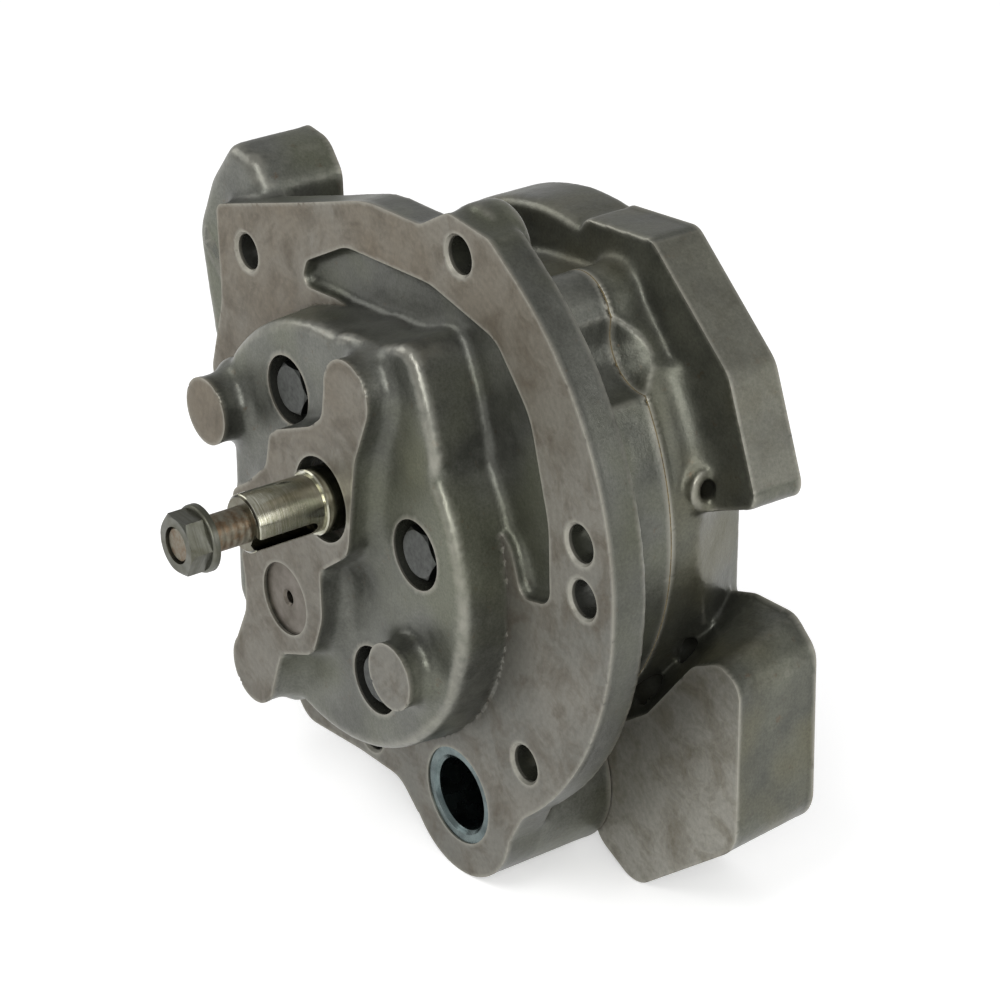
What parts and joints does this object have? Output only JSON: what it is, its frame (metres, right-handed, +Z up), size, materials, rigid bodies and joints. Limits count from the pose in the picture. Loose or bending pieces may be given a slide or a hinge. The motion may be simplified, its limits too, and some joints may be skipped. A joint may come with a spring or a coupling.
{
  "type": "hydraulic gear pump",
  "caption": "Flange-mounted hydraulic gear pump with a keyed drive shaft, an external gear pair in cast-iron housings and rear pipe ports.",
  "frame": {"origin": "centre of the mounting bolt circle, on the flange's front machined face", "axes": "-Y along the drive shaft, out of the flange's front face; +X towards the side of the suction block; +Z up"},
  "size_m": [0.288, 0.1886, 0.2693],
  "materials": {
    "cast_iron": "machined and as-cast grey iron",
    "cast_iron_rear": "as-cast grey iron with machined faces",
    "gasket": "compressed fibre sheet",
    "bronze_plate": "bronze",
    "bearing_bronze": "leaded bronze",
    "pressed_steel": "pressed steel",
    "seal_rubber": "nitrile rubber",
    "spring_steel": "spring steel",
    "plug_steel": "turned steel",
    "sleeve_steel": "bored steel",
    "black_bolt_steel": "black oxide steel",
    "ground_steel": "ground steel",
    "gear_steel": "hobbed and shaved steel",
    "nut_steel": "dull steel"
  },
  "bodies": {
    "housing": {"front_housing": "cast_iron", "rear_housing": "cast_iron_rear", "joint_gasket": "gasket", "front_wear_plate": "bronze_plate", "rear_wear_plate": "bronze_plate", "drive_front_bush": "bearing_bronze", "drive_rear_bush": "bearing_bronze", "idler_front_bush": "bearing_bronze", "idler_rear_bush": "bearing_bronze", "shaft_seal_case": "pressed_steel", "shaft_seal_lip": "seal_rubber", "seal_garter_spring": "spring_steel", "seal_retaining_ring": "spring_steel", "idler_bore_plug": "plug_steel", "plug_o_ring": "seal_rubber", "port_sleeve": "sleeve_steel", "housing_bolts": "black_bolt_steel", "bolt_washers": "black_bolt_steel", "dowel_pins": "ground_steel"},
    "drive": {"drive_shaft": "ground_steel", "drive_gear": "gear_steel", "gear_key": "ground_steel", "shaft_nut": "nut_steel"},
    "idler": {"idler_shaft": "ground_steel", "idler_gear": "gear_steel"}
  },
  "joints": [
    {"name": "drive_spin", "type": "hinge", "parent": "housing", "child": "drive", "pos_m": [0, 0, 0.0045], "axis": [0, 1, 0], "continuous": true},
    {"name": "idler_spin", "type": "hinge", "parent": "housing", "child": "idler", "pos_m": [-0.02629, 0, -0.04776], "axis": [0, 1, 0], "continuous": true}
  ],
  "couplings": [
    {"joint": "idler_spin", "follows": "drive_spin", "ratio": -1}
  ]
}
